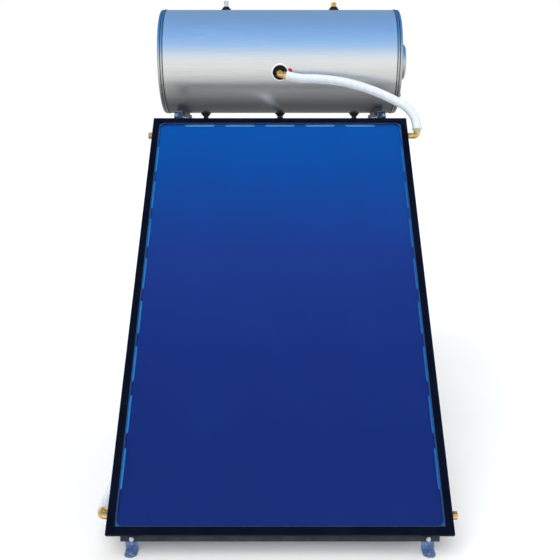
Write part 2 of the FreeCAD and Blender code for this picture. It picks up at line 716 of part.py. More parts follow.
FLOW_TANK_CORNER = axis_point(0, ELBOW_CORNER, FRONT_PORT)
FLOW_COL_CORNER = slope_point(FLOW_ELBOW_X, HEADER_HIGH_S, HEADER_N)
FLOW_RISE = FLOW_TANK_CORNER - FLOW_COL_CORNER
FLOW_UP = Vector(0, FLOW_RISE.y, FLOW_RISE.z).normalize()

RETURN_TANK_CORNER = axis_point(0, ELBOW_CORNER + 5, DOWN)
RETURN_COL_CORNER = slope_point(RETURN_ELBOW_X, HEADER_LOW_S, HEADER_N)
RETURN_RUN = RETURN_COL_CORNER - RETURN_TANK_CORNER
RETURN_WAY = Vector(RETURN_RUN.x, RETURN_RUN.y, 0).normalize()


FLOW_TILT = math.radians(12)     # the pipe leaves the tank's elbow a little downwards
FLOW_WAY = X_AXIS * math.cos(FLOW_TILT) - FLOW_UP * math.sin(FLOW_TILT)


def flow_point(x, drop):
    """A point of the flow pipe's plane, given from the tank elbow's corner."""
    return FLOW_TANK_CORNER + X_AXIS * x - FLOW_UP * drop


def flow_route():
    """From the front port out to the right, over in a long arch and down to the header."""
    sag = flow_point(100, 100 * math.tan(FLOW_TILT))
    brow, shoulder = flow_point(370, 26), flow_point(FLOW_ELBOW_X, 193)
    start = FLOW_TANK_CORNER + FLOW_WAY * LEG
    end = FLOW_COL_CORNER + FLOW_UP * LEG
    return [start, sag, brow, shoulder, end], [300.0, 900.0, 145.0]


def return_route():
    """From the low header back under the collector and straight up to the tank."""
    start = RETURN_COL_CORNER + Y_AXIS * LEG
    under = RETURN_COL_CORNER + Y_AXIS * 150
    near = RETURN_TANK_CORNER + RETURN_WAY * 150
    end = RETURN_TANK_CORNER + RETURN_WAY * LEG
    return [start, under, near, end], [180.0, 300.0]


def pipe_and_sleeve(route):
    points, radii = route
    first_way = (points[1] - points[0]).normalize()
    last_way = (points[-2] - points[-1]).normalize()
    inner = [points[0] - first_way * SEAT_DEPTH] + points[1:-1] + [points[-1] - last_way * SEAT_DEPTH]
    outer = [points[0] + first_way * SOFT_GAP] + points[1:-1] + [points[-1] + last_way * SOFT_GAP]
    tube = sweep(rounded_path(inner, radii), PIPE_R)
    tube = tube.cut(sweep(rounded_path([inner[0] - first_way] + inner[1:-1] + [inner[-1] - last_way],
                                       radii), PIPE_R - 1))
    over = [outer[0] - first_way] + outer[1:-1] + [outer[-1] - last_way]
    sleeve = sweep(rounded_path(outer, radii), SLEEVE_R)
    sleeve = sleeve.cut(sweep(rounded_path(over, radii), PIPE_R + SOFT_GAP))
    return tube, sleeve


def header_plug(side, s):
    """A hexagon plug that closes the unused end of a header."""
    start, end = side * 601.0, side * 648.0
    plug = hexagon(Vector(side * 628, s, HEADER_N), Vector(end, s, HEADER_N), 27)
    plug = plug.fuse(rod(Vector(start, s, HEADER_N), Vector(side * 630, s, HEADER_N), 13.5))
    socket = rod(Vector(start - side, s, HEADER_N), Vector(side * HEADER_END_X, s, HEADER_N), HEADER_R)
    key = box(end - 4, end + 4, s - 1.6, s + 1.6, HEADER_N - 9, HEADER_N + 9)
    return on_slope(plug.cut(socket).cut(key))


def make_plumbing():
    stub_end = HEADER_END_X - SEAT_DEPTH + 1
    save("flow_elbow_tank", elbow(FLOW_TANK_CORNER, -FRONT_PORT, TANK_ARM, STUB_R, FLOW_WAY))
    save("flow_elbow_collector", elbow(FLOW_COL_CORNER, -X_AXIS, FLOW_ELBOW_X - stub_end, HEADER_R, FLOW_UP))
    save("return_elbow_tank", elbow(RETURN_TANK_CORNER, Z_AXIS, TANK_ARM + 5, STUB_R, RETURN_WAY))
    save("return_elbow_collector", elbow(RETURN_COL_CORNER, X_AXIS, -RETURN_ELBOW_X - stub_end, HEADER_R,
                                         Y_AXIS))
    save("header_plugs", header_plug(-1, HEADER_HIGH_S), header_plug(1, HEADER_LOW_S))
    for name, route in (("flow", flow_route()), ("return", return_route())):
        tube, sleeve = pipe_and_sleeve(route)
        save(name + "_pipe", tube)
        save(name + "_sleeve", sleeve)


# ---- stand ----------------------------------------------------------------------------
RAIL_LOW_S, RAIL_HIGH_S = 30.0, 2166.0
RAIL_N = -COL_D - STEEL_T


def inclined_rail():
    x0, x1 = WEB_X, WEB_X + RAIL_W
    flange = box(x0, x1, RAIL_LOW_S, RAIL_HIGH_S, RAIL_N - STEEL_T, RAIL_N)
    web = box(x0, x0 + STEEL_T, RAIL_LOW_S, RAIL_HIGH_S, RAIL_N - RAIL_DEPTH, RAIL_N)
    return drill(on_slope(flange.fuse(web).removeSplitter()), STAND_BOLTS)


def rear_leg():
    x0, x1 = WEB_X, WEB_X + RAIL_W
    low, high = 5.0, 1555.0
    flange = box(x0, x1, LEG_FACE_Y - STEEL_T, LEG_FACE_Y, low, high)
    web = box(x0, x0 + STEEL_T, LEG_FACE_Y - RAIL_W, LEG_FACE_Y, low, high)
    return drill(flange.fuse(web).removeSplitter(), STAND_BOLTS)


def base_bar():
    web = box(INNER_X, WEB_X, -925, 972, 70, 110)
    flange = box(INNER_X - 34, WEB_X, -925, 940, 70, 70 + STEEL_T)
    return drill(web.fuse(flange).removeSplitter(), STAND_BOLTS)


SADDLE_R = TANK_R + SOFT_GAP
SADDLE_HALF = 120.0
SADDLE_LOW_Z, ARM_LOW_Z, ARM_HIGH_Z = 1523.0, 1497.0, 1555.0


def tank_cradle():
    """The upper arm of a side frame, welded to the saddle box that carries the tank."""
    x0, x1 = INNER_X, WEB_X + RAIL_W
    t = STEEL_T
    front, back = AXIS_Y - SADDLE_HALF, AXIS_Y + SADDLE_HALF
    high = AXIS_Z - TANK_R + 60
    arm = box(x0, x0 + t, 502, 977, ARM_LOW_Z, ARM_HIGH_Z)
    walls = [box(x0, x0 + t, front, back, ARM_LOW_Z, high),
             box(x1 - t, x1, front, back, SADDLE_LOW_Z, high),
             box(x0, x1, front, front + t, SADDLE_LOW_Z, high),
             box(x0, x1, back - t, back, SADDLE_LOW_Z, high)]
    frame = arm.fuse(walls).cut(axis_rod(x0 - 1, x1 + 1, SADDLE_R))
    ring = pipe(axis_point(x0), axis_point(x1), SADDLE_R + t, SADDLE_R)
    flange = ring.common(box(x0, x1, front, back, ARM_LOW_Z, high))
    return drill(frame.fuse(flange).removeSplitter(), STAND_BOLTS)


LEG_1_LOW_S, LEG_1_HIGH_S, UPRIGHT_LOW_Z = 15.6, 60.0, 38.0


def front_rail():
    """A folded rail: one leg under the collector's lower end, one hanging upright in front."""
    def at(s, n):
        point = slope_point(0, s, n)
        return point.y, point.z
    inner_y = FRONT_FACE_Y + STEEL_T
    outline = [at(LEG_1_HIGH_S, -COL_D), at(LEG_1_HIGH_S, RAIL_N), (inner_y, slope_z(inner_y, RAIL_N)),
               (inner_y, UPRIGHT_LOW_Z), (FRONT_FACE_Y, UPRIGHT_LOW_Z),
               (FRONT_FACE_Y, slope_z(FRONT_FACE_Y, -COL_D))]
    return drill(prism_x(outline, -CROSS_X, CROSS_X), STAND_BOLTS)


def upper_rail():
    flange = box(-CROSS_X, CROSS_X, 1990, 2030, RAIL_N, -COL_D)
    web = box(-CROSS_X, CROSS_X, 2030 - STEEL_T, 2030, RAIL_N, -50)
    return on_slope(flange.fuse(web).removeSplitter())


def brace(layer):
    """A flat diagonal bar across the rear legs. Layer 0 lies against the legs."""
    reach = RAIL_X + 4
    low, high = Vector(-reach, 0, BRACE_LOW_Z), Vector(reach, 0, BRACE_HIGH_Z)
    run = (high - low).normalize()
    side = Y_AXIS.cross(run) * (BRACE_W / 2)
    a, b = low - run * 18, high + run * 18
    y = LEG_FACE_Y + layer * BRACE_T
    ring = [p + Vector(0, y, 0) for p in (a - side, b - side, b + side, a + side)]
    bar = Part.Face(Part.makePolygon(ring + [ring[0]])).extrude(Vector(0, BRACE_T, 0))
    return drill(mirror_x(bar) if layer else bar, STAND_BOLTS)


def brace_spacers():
    """Thick washers that fill the bolts' stack where only one brace passes."""
    reach = RAIL_X + 4
    near, far = LEG_FACE_Y, LEG_FACE_Y + BRACE_T
    places = [(-reach, BRACE_LOW_Z, far), (reach, BRACE_HIGH_Z, far),
              (reach, BRACE_LOW_Z, near), (-reach, BRACE_HIGH_Z, near)]
    return [pipe(Vector(x, y, z), Vector(x, y + BRACE_T, z), 12, M8_R + HOLE_SLACK)
            for x, z, y in places]


def foot(side, front):
    """An angle foot: upright plate, ground tab with a round end, one stiffening lip."""
    x0, x1 = ANCHOR_X - FOOT_W / 2, ANCHOR_X + FOOT_W / 2
    face = -FRONT_FACE_Y - STEEL_T if front else LEG_FACE_Y + FOOT_T
    plate = box(x0, x1, face - FOOT_T, face, 0, FOOT_H)
    tab = box(x0, x1, face - FOOT_T, ANCHOR_Y, 0, FOOT_T)
    tab = tab.fuse(rod(Vector(ANCHOR_X, ANCHOR_Y, 0), Vector(ANCHOR_X, ANCHOR_Y, FOOT_T), FOOT_W / 2))
    lip_x = x0 if side > 0 else x1 - STEEL_T
    lip_near, lip_far = (face - FOOT_T - 12, face - FOOT_T) if front else (face - FOOT_T, face + 14)
    lip = box(lip_x, lip_x + STEEL_T, lip_near, lip_far, 0, FOOT_LIP_H)
    shape = plate.fuse([tab, lip]).removeSplitter()
    anchor = rod(Vector(ANCHOR_X, ANCHOR_Y, -1), Vector(ANCHOR_X, ANCHOR_Y, FOOT_T + 1), ANCHOR_R)
    shape = shape.cut(anchor)
    if front:
        shape = shape.mirror(Vector(0, 0, 0), Y_AXIS)
    if side < 0:
        shape = mirror_x(shape)
    return drill(shape, STAND_BOLTS)


def top_clamp():
    """A strap bolted on the rail that hooks under the frame's top bar."""
    x0, x1 = WEB_X, WEB_X + RAIL_W
    t = STEEL_T
    wall_s = COL_L + 2
    clamp = box(x0, x1, wall_s, CLAMP_S + 27, -COL_D - t, -COL_D)
    clamp = clamp.fuse([box(x0, x1, wall_s, wall_s + t, -COL_D, -FRAME_D),
                        box(x0, x1, wall_s - 26, wall_s + t, -FRAME_D - t, -FRAME_D)])
    return drill(on_slope(clamp.removeSplitter()), STAND_BOLTS)


def bottom_clamp():
    x0, x1 = WEB_X, WEB_X + RAIL_W
    t = STEEL_T
    clamp = box(x0, x1, 18, 18 + t, -COL_D, -FRAME_D)
    clamp = clamp.fuse([box(x0, x1, 18, 28, -COL_D, -COL_D + t), box(x0, x1, 18, 28, -FRAME_D - t, -FRAME_D)])
    return on_slope(clamp.removeSplitter())


def stand_bolts():
    pieces = brace_spacers()
    for seat, axis, grip in STAND_BOLTS:
        tail = 30 if abs(seat.z - 1543) < 1 else 10
        pieces += bolt_set(seat, axis, grip, tail)
    return pieces


def make_stand():
    pairs = {"inclined_rail": inclined_rail(), "rear_leg": rear_leg(), "base_bar": base_bar(),
             "tank_cradle": tank_cradle()}
    for name, shape in pairs.items():
        save(name + "_right", shape)
        save(name + "_left", mirror_x(shape))
    save("front_rail", front_rail())
    save("upper_rail", upper_rail())
    save("brace_a", brace(0))
    save("brace_b", brace(1))
    save("feet", *[foot(side, front) for side in (-1, 1) for front in (True, False)])
    save("collector_clamps", *both_sides([top_clamp(), bottom_clamp()]))
    save("stand_bolts", *stand_bolts())


make_tank()
make_collector()
make_plumbing()
make_stand()
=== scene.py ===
import json
import math

import bmesh
import bpy
from mathutils import Matrix, Vector, noise


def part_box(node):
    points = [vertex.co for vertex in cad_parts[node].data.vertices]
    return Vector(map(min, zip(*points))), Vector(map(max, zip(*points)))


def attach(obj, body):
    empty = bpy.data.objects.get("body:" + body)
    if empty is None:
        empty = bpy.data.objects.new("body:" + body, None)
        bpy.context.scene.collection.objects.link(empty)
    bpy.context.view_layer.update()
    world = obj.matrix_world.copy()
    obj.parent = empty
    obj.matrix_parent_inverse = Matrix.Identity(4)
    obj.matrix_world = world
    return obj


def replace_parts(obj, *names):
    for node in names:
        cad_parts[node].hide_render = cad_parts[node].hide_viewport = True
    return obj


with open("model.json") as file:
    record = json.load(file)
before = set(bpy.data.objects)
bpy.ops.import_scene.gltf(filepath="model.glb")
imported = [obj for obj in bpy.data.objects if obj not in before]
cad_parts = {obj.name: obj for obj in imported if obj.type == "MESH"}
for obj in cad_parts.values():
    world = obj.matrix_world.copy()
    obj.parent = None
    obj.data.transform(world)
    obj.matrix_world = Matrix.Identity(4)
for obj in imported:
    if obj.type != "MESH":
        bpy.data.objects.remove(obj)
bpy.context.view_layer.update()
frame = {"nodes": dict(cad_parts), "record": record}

# ---- places and sizes, in metres, worked out from the frame ---------------------------
MM = 0.001
RIGHT, BACK = Vector((1, 0, 0)), Vector((0, 1, 0))

TILT = math.radians(45)           # slope of the collector
LIP = 30 * MM                     # width of the collector frame's lip
FRAME_DEPTH = 20 * MM
CORNER_R = 34 * MM                # round corners of the collector's window
SLOPE_UP = Vector((0, math.cos(TILT), math.sin(TILT)))
SLOPE_OUT = Vector((0, -math.sin(TILT), math.cos(TILT)))
FRAME_LOW, FRAME_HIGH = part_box("collector_frame_bottom")
HALF_W = (FRAME_HIGH.x - FRAME_LOW.x) / 2
# The bottom bar's lowest point lies FRAME_DEPTH under the glass side's lower edge.
TOE = Vector((0, FRAME_LOW.y, FRAME_LOW.z + FRAME_DEPTH * math.cos(TILT)))
TOP_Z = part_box("collector_frame_top")[1].z
LENGTH = (TOP_Z - TOE.z) / math.sin(TILT)

TANK_LOW, TANK_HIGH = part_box("tank_jacket")
TANK_R = (TANK_HIGH.z - TANK_LOW.z) / 2
TANK_MIDDLE = Vector((0, (TANK_LOW.y + TANK_HIGH.y) / 2, (TANK_LOW.z + TANK_HIGH.z) / 2))
PORT_LOW, PORT_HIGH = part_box("front_grommet")
PORT_MIDDLE = (PORT_LOW + PORT_HIGH) / 2
FRONT_WAY = Vector((0, PORT_MIDDLE.y - TANK_MIDDLE.y, PORT_MIDDLE.z - TANK_MIDDLE.z)).normalized()


def slope(x, s, n):
    """A point on the collector: x across, s up the slope, n out of the glass."""
    return TOE + Vector((x, 0, 0)) + SLOPE_UP * s + SLOPE_OUT * n


# ---- material helpers -----------------------------------------------------------------
def set_stops(ramp, stops):
    """Gives a colour ramp its (place, colour) stops."""
    elements = ramp.color_ramp.elements
    while len(elements) < len(stops):
        elements.new(0.5)
    for element, (place, color) in zip(elements, stops):
        element.position = place
        element.color = (*color, 1)


class Look:
    """One procedural material and short calls for its nodes. Textures use object
    coordinates, which are the frame's metres."""

    def __init__(self, name, color, roughness, metallic=0.0, **sockets):
        self.material = bpy.data.materials.new(name)
        self.material.use_nodes = True
        self.tree = self.material.node_tree
        self.surface = self.tree.nodes["Principled BSDF"]
        self.surface.inputs["Base Color"].default_value = (*color, 1)
        self.surface.inputs["Roughness"].default_value = roughness
        self.surface.inputs["Metallic"].default_value = metallic
        for socket, value in sockets.items():
            self.surface.inputs[socket].default_value = value
        self.coords = self.tree.nodes.new("ShaderNodeTexCoord").outputs["Object"]

    def node(self, kind, **inputs):
        made = self.tree.nodes.new("ShaderNode" + kind)
        for name, value in inputs.items():
            socket = made.inputs[name]
            if isinstance(value, bpy.types.NodeSocket):
                self.tree.links.new(value, socket)
            else:
                socket.default_value = value
        return made

    def stretched(self, stretch, turn=(0, 0, 0)):
        return self.node("Mapping", Vector=self.coords, Scale=stretch, Rotation=turn).outputs[0]

    def noise(self, scale, detail, stretch=(1, 1, 1), distortion=0.0):
        made = self.node("TexNoise", Vector=self.stretched(stretch), Scale=scale, Detail=detail,
                         Distortion=distortion)
        return made.outputs["Fac"]

    def wave(self, scale, distortion, stretch=(1, 1, 1), turn=(0, 0, 0), profile="SAW"):
        made = self.node("TexWave", Vector=self.stretched(stretch, turn), Scale=scale,
                         Distortion=distortion, Detail=2.0)
        made.wave_profile = profile
        return made.outputs["Fac"]

    def ramp(self, factor, *stops):
        made = self.node("ValToRGB", Fac=factor)
        set_stops(made, stops)
        return made.outputs["Color"]

    def share(self, axis, low, high):
        """How far a point lies between two places along an axis, from 0 to 1."""
        along = self.node("SeparateXYZ", Vector=self.coords).outputs[axis]
        made = self.node("MapRange", Value=along, **{"From Min": low, "From Max": high})
        return made.outputs["Result"]

    def between(self, factor, low, high):
        """Stretches a factor of 0 to 1 between two values."""
        return self.node("MapRange", Value=factor, **{"To Min": low, "To Max": high}).outputs["Result"]

    def mix(self, factor, a, b, blend="MIX"):
        """Factor and colours are sockets or values. The node's colours are its inputs 6 and 7
        and its output 2."""
        made = self.tree.nodes.new("ShaderNodeMix")
        made.data_type = "RGBA"
        made.blend_type = blend
        for place, value in ((0, factor), (6, a), (7, b)):
            if isinstance(value, bpy.types.NodeSocket):
                self.tree.links.new(value, made.inputs[place])
            else:
                made.inputs[place].default_value = (*value, 1) if place else value
        return made.outputs[2]

    def feed(self, socket, value):
        self.tree.links.new(value, self.surface.inputs[socket])

    def bump(self, height, strength, depth):
        """Adds a bump on top of those already there. Depth is in metres."""
        made = self.node("Bump", Height=height, Strength=strength, Distance=depth)
        below = self.surface.inputs["Normal"]
        if below.is_linked:
            self.tree.links.new(below.links[0].from_socket, made.inputs["Normal"])
        self.tree.links.new(made.outputs["Normal"], below)


# ---- materials --------------------------------------------------------------------------
def tank_skin():
    """Bright stainless sheet, rolled with the grain along the tank, with painted shade on its underside.
    """
    look = Look("tank_skin", (0.82, 0.84, 0.86), 0.3, 0.86)
    grain = look.noise(220, 6, (0.03, 1, 1))
    clouds = look.noise(3.5, 3, (1, 1, 1))
    tone = look.ramp(grain, (0.3, (0.74, 0.76, 0.78)), (0.7, (0.88, 0.89, 0.90)))
    # Painted shade: the base colour darkens towards the bottom of the tank.
    rise = look.share("Z", TANK_LOW.z, TANK_HIGH.z)
    shade = look.ramp(rise, (0.02, (0.20, 0.21, 0.23)), (0.08, (0.34, 0.35, 0.37)),
                      (0.16, (0.80, 0.80, 0.79)), (0.26, (1.0, 1.0, 0.99)))
    steel = look.mix(clouds, tone, (0.82, 0.84, 0.86))
    look.feed("Base Color", look.mix(1.0, steel, shade, "MULTIPLY"))
    look.feed("Roughness", look.between(grain, 0.24, 0.38))
    look.bump(grain, 0.12, 0.0004)
    look.bump(look.noise(2.2, 2, (0.6, 1, 1)), 0.25, 0.004)
    return look


def cap_steel():
    """Pressed end caps, satin with faint drawing marks round the rim."""
    look = Look("cap_steel", (0.60, 0.62, 0.65), 0.34, 1.0)
    grain = look.noise(90, 6)
    look.feed("Base Color", look.ramp(grain, (0.25, (0.57, 0.59, 0.62)), (0.75, (0.64, 0.66, 0.69))))
    look.feed("Roughness", look.between(look.noise(12, 4), 0.26, 0.44))
    look.bump(grain, 0.15, 0.0005)
    return look


def inner_steel():
    """Enamelled steel of the vessel, jacket and flange."""
    look = Look("inner_steel", (0.25, 0.27, 0.31), 0.45, 0.4)
    speck = look.noise(160, 3)
    look.feed("Base Color", look.ramp(speck, (0.35, (0.20, 0.22, 0.26)), (0.7, (0.33, 0.35, 0.39))))
    look.feed("Roughness", look.between(speck, 0.35, 0.6))
    look.bump(speck, 0.2, 0.0006)
    return look


def foam():
    look = Look("foam", (0.83, 0.72, 0.42), 0.9)
    cells = look.node("TexVoronoi", Vector=look.coords, Scale=420.0).outputs["Distance"]
    look.feed("Base Color", look.ramp(cells, (0.0, (0.62, 0.50, 0.26)), (0.6, (0.88, 0.78, 0.50))))
    look.bump(cells, 0.5, 0.001)
    return look


def wool():
    look = Look("wool", (0.55, 0.49, 0.30), 0.95)
    fibres = look.noise(240, 8, (0.12, 1, 1), distortion=1.2)
    look.feed("Base Color", look.ramp(fibres, (0.3, (0.42, 0.36, 0.20)), (0.7, (0.68, 0.61, 0.40))))
    look.bump(fibres, 0.7, 0.002)
    return look


def rubber():
    look = Look("rubber", (0.010, 0.010, 0.011), 0.62, 0.0, **{"Specular IOR Level": 0.25})
    dust = look.noise(60, 5)
    tone = look.ramp(dust, (0.35, (0.005, 0.005, 0.006)), (0.75, (0.016, 0.016, 0.018)))
    look.feed("Base Color", tone)
    look.feed("Roughness", look.between(dust, 0.5, 0.75))
    look.bump(look.noise(700, 2), 0.25, 0.0003)
    return look


def fastener():
    """Bright zinc with a faint cloudy passivation."""
    look = Look("fastener", (0.78, 0.80, 0.83), 0.24, 1.0)
    clouds = look.noise(140, 4)
    look.feed("Base Color", look.ramp(clouds, (0.3, (0.66, 0.68, 0.72)), (0.7, (0.90, 0.91, 0.93))))
    look.feed("Roughness", look.between(clouds, 0.16, 0.36))
    look.bump(look.noise(900, 2), 0.1, 0.0002)
    return look


def magnesium():
    look = Look("magnesium", (0.52, 0.52, 0.50), 0.6, 0.7)
    pits = look.noise(120, 6)
    look.feed("Base Color", look.ramp(pits, (0.3, (0.40, 0.40, 0.38)), (0.7, (0.60, 0.60, 0.58))))
    look.bump(pits, 0.4, 0.0008)
    return look


def plastic_black():
    look = Look("plastic_black", (0.02, 0.02, 0.022), 0.5)
    spark = look.noise(900, 2)
    look.feed("Base Color", look.ramp(spark, (0.3, (0.014, 0.014, 0.016)), (0.7, (0.032, 0.032, 0.035))))
    look.feed("Roughness", look.between(spark, 0.42, 0.6))
    look.bump(spark, 0.3, 0.0002)
    return look


def plastic_red():
    look = Look("plastic_red", (0.62, 0.012, 0.02), 0.3)
    haze = look.noise(90, 3)
    look.feed("Base Color", look.ramp(haze, (0.3, (0.52, 0.008, 0.014)), (0.7, (0.72, 0.02, 0.03))))
    look.feed("Roughness", look.between(haze, 0.24, 0.42))
    look.bump(look.noise(800, 2), 0.1, 0.0002)
    return look


def brass():
    """Machined brass, darker where hands and flux have touched it."""
    look = Look("brass", (0.9, 0.55, 0.18), 0.26, 0.85)
    stain = look.noise(55, 6)
    lathe = look.noise(500, 2, (1, 0.2, 0.2))
    tone = look.ramp(stain, (0.3, (0.60, 0.25, 0.05)), (0.5, (0.98, 0.56, 0.16)),
                     (0.72, (1.0, 0.80, 0.42)))
    look.feed("Base Color", tone)
    look.feed("Roughness", look.between(stain, 0.38, 0.18))
    look.bump(lathe, 0.15, 0.0003)
    return look


def nickel():
    look = Look("nickel", (0.78, 0.76, 0.72), 0.2, 1.0)
    haze = look.noise(120, 4)
    look.feed("Base Color", look.ramp(haze, (0.3, (0.68, 0.66, 0.62)), (0.7, (0.86, 0.84, 0.80))))
    look.feed("Roughness", look.between(haze, 0.12, 0.3))
    look.bump(look.noise(600, 2), 0.08, 0.0002)
    return look


def frame_black():
    """Near-black anodised profile with long extrusion lines."""
    look = Look("frame_black", (0.004, 0.006, 0.016), 0.42, 0.0, **{"Specular IOR Level": 0.1})
    lines = look.noise(260, 4, (0.05, 1, 1))
    dust = look.noise(9, 6)
    tone = look.ramp(dust, (0.35, (0.0008, 0.0012, 0.006)), (0.8, (0.003, 0.004, 0.014)))
    look.feed("Base Color", tone)
    look.feed("Roughness", look.between(dust, 0.3, 0.5))
    look.bump(lines, 0.12, 0.0003)
    return look


# The tray's rim between these heights gets a painted reflection of the blue absorber.
RIM_LOW_N, RIM_HIGH_N = -20 * MM, -14 * MM    # where the tray's rim comes out past the absorber


def tray_aluminium():
    """Mill-finish aluminium. Its rim, inside the glass, carries a painted reflection of the blue
    absorber.
    """
    look = Look("tray_aluminium", (0.62, 0.70, 0.80), 0.36, 0.6)
    mill = look.noise(200, 5, (0.04, 1, 1))
    bare = look.ramp(mill, (0.3, (0.50, 0.54, 0.58)), (0.7, (0.70, 0.73, 0.76)))
    # Painted reflection: the rim's band is coloured with the absorber's blue.
    from_toe = look.node("VectorMath", Vector=look.coords)
    from_toe.operation = "SUBTRACT"
    from_toe.inputs[1].default_value = TOE
    out = look.node("VectorMath", Vector=from_toe.outputs[0])
    out.operation = "DOT_PRODUCT"
    out.inputs[1].default_value = SLOPE_OUT
    rim = look.node("MapRange", Value=out.outputs["Value"],
                    **{"From Min": RIM_LOW_N, "From Max": RIM_HIGH_N}).outputs["Result"]
    look.feed("Base Color", look.mix(rim, bare, (0.07, 0.19, 0.36)))
    look.feed("Roughness", look.between(mill, 0.28, 0.46))
    look.bump(mill, 0.15, 0.0004)
    return look


def absorber_blue():
    """Selective coating: deep blue with a very faint weave of rolling marks and the welded risers
    showing through. A painted sky reflection lightens it towards the high end."""
    look = Look("absorber_blue", (0.01, 0.035, 0.20), 0.42, 0.0, **{"Specular IOR Level": 0.06})
    # Painted sky reflection: the blue lightens from the low end to the high end.
    rise = look.share("Z", TOE.z, TOP_Z)
    slow = look.ramp(rise, (0.0, (0.009, 0.025, 0.165)), (0.12, (0.007, 0.024, 0.160)),
                     (0.35, (0.009, 0.028, 0.190)), (0.6, (0.012, 0.041, 0.235)),
                     (0.85, (0.003, 0.072, 0.335)), (1.0, (0.001, 0.090, 0.380)))
    clouds = look.noise(5, 4, (1, 0.5, 0.5))
    shade = look.ramp(clouds, (0.3, (0.90, 0.91, 0.93)), (0.7, (1.0, 1.0, 1.0)))
    look.feed("Base Color", look.mix(1.0, slow, shade, "MULTIPLY"))
    grain = look.noise(420, 3)
    look.feed("Roughness", look.between(grain, 0.36, 0.5))
    look.bump(grain, 0.2, 0.0002)
    ripple = look.wave(2.66, 0.6, profile="SIN")
    look.bump(ripple, 0.15, 0.0006)
    return look


def copper():
    look = Look("copper", (0.72, 0.34, 0.20), 0.3, 1.0)
    stain = look.noise(45, 6)
    look.feed("Base Color", look.ramp(stain, (0.3, (0.42, 0.16, 0.09)), (0.7, (0.84, 0.44, 0.28))))
    look.feed("Roughness", look.between(stain, 0.45, 0.2))
    look.bump(look.noise(300, 3), 0.1, 0.0003)
    return look


def glass():
    """A flat pane: clear, with a weak soft mirror that grows at low angles."""
    look = Look("glass", (0.92, 0.96, 1.0), 0.14, 1.0)
    grain = look.noise(700, 2)
    look.feed("Roughness", look.between(grain, 0.1, 0.2))
    look.bump(grain, 0.05, 0.0001)
    clear = look.node("BsdfTransparent", Color=(0.965, 0.985, 1.0, 1))
    mirror = look.node("Fresnel", IOR=1.1).outputs["Fac"]
    pane = look.node("MixShader")
    look.tree.links.new(mirror, pane.inputs[0])
    look.tree.links.new(clear.outputs[0], pane.inputs[1])
    look.tree.links.new(look.surface.outputs[0], pane.inputs[2])
    look.tree.links.new(pane.outputs[0], look.tree.nodes["Material Output"].inputs["Surface"])
    return look


def pipe_sleeve():
    """Thin white plastic tape in overlapping turns."""
    look = Look("pipe_sleeve", (0.80, 0.84, 0.88), 0.4, **{"Coat Weight": 0.25})
    turns = look.wave(9.0, 2.2, (1, 0.45, 0.45), (0, 0, 0.5))
    creases = look.noise(70, 5, (1, 1, 1), distortion=0.8)
    tone = look.ramp(turns, (0.0, (0.62, 0.70, 0.79)), (0.05, (0.78, 0.83, 0.88)),
                     (1.0, (0.84, 0.87, 0.90)))
    look.feed("Base Color", look.mix(look.between(creases, 0.0, 0.5), tone, (0.64, 0.72, 0.81)))
    look.feed("Roughness", look.between(creases, 0.32, 0.55))
    look.bump(turns, 0.5, 0.002)
    look.bump(creases, 0.35, 0.002)
    return look


def spangled(name, dark, bright, stained, metallic, **sockets):
    """Hot-dip zinc: spangles between two tones, with cloudy stains."""
    look = Look(name, bright, 0.44, metallic, **sockets)
    spangle = look.node("TexVoronoi", Vector=look.coords, Scale=95.0).outputs["Color"]
    grey = look.node("RGBToBW", Color=spangle).outputs[0]
    tone = look.ramp(grey, (0.2, dark), (0.8, bright))
    look.feed("Base Color", look.mix(look.between(look.noise(14, 6), 0.0, 0.5), tone, stained))
    look.feed("Roughness", look.between(grey, 0.3, 0.5))
    look.bump(look.noise(160, 4), 0.15, 0.0005)
    return look


def galvanised():
    return spangled("galvanised", (0.16, 0.19, 0.24), (0.34, 0.38, 0.45), (0.21, 0.23, 0.26), 0.4)


def foot_zinc():
    """A bluer copy of the rails' zinc for the feet: a painted reflection of the sky."""
    return spangled("foot_zinc", (0.12, 0.20, 0.40), (0.27, 0.40, 0.68), (0.15, 0.21, 0.34), 0.4)


def bracket_steel():
    """Zinc of the brackets under the tank and of the collector's clamps, in darker tones than the
    rails'.
    """
    return spangled("bracket_steel", (0.02, 0.024, 0.034), (0.08, 0.095, 0.125), (0.04, 0.05, 0.07), 0.3,
                    **{"Specular IOR Level": 0.25})


def dark_brass():
    """Brass in dark brown tones, for the fittings under the tank."""
    look = Look("dark_brass", (0.04, 0.03, 0.02), 0.4, 0.6)
    stain = look.noise(60, 6)
    look.feed("Base Color", look.ramp(stain, (0.3, (0.02, 0.016, 0.013)), (0.7, (0.10, 0.07, 0.035))))
    look.feed("Roughness", look.between(stain, 0.52, 0.3))
    look.bump(look.noise(500, 2), 0.15, 0.0003)
    return look


def rail_charcoal():
    look = Look("rail_charcoal", (0.03, 0.04, 0.052), 0.45, 0.3)
    dust = look.noise(24, 6)
    look.feed("Base Color", look.ramp(dust, (0.3, (0.018, 0.026, 0.036)), (0.75, (0.05, 0.064, 0.08))))
    look.feed("Roughness", look.between(dust, 0.36, 0.56))
    look.bump(look.noise(420, 3), 0.25, 0.0003)
    return look


def foil():
    """Bright foil under the absorber, seen through its slots, with painted light: lighter on the left
    side and brightest along the top.
    """
    look = Look("foil", (0.22, 0.55, 0.86), 0.3, 0.1)
    crinkle = look.noise(160, 5, distortion=0.6)
    # Painted light: lighter on the left, where the key light comes from, darker on the right.
    sides = look.ramp(look.share("X", -HALF_W, HALF_W),
                      (0.0, (0.03, 0.40, 0.90)), (1.0, (0.02, 0.19, 0.52)))
    # Painted light: a bright band along the top.
    painted_top_light = look.share("Z", TOP_Z - 120 * MM, TOP_Z - 60 * MM)
    tone = look.mix(painted_top_light, sides, (0.34, 0.72, 1.0))
    shade = look.ramp(crinkle, (0.3, (0.72, 0.78, 0.84)), (0.7, (1.0, 1.0, 1.0)))
    look.feed("Base Color", look.mix(1.0, tone, shade, "MULTIPLY"))
    look.bump(crinkle, 0.5, 0.0008)
    return look


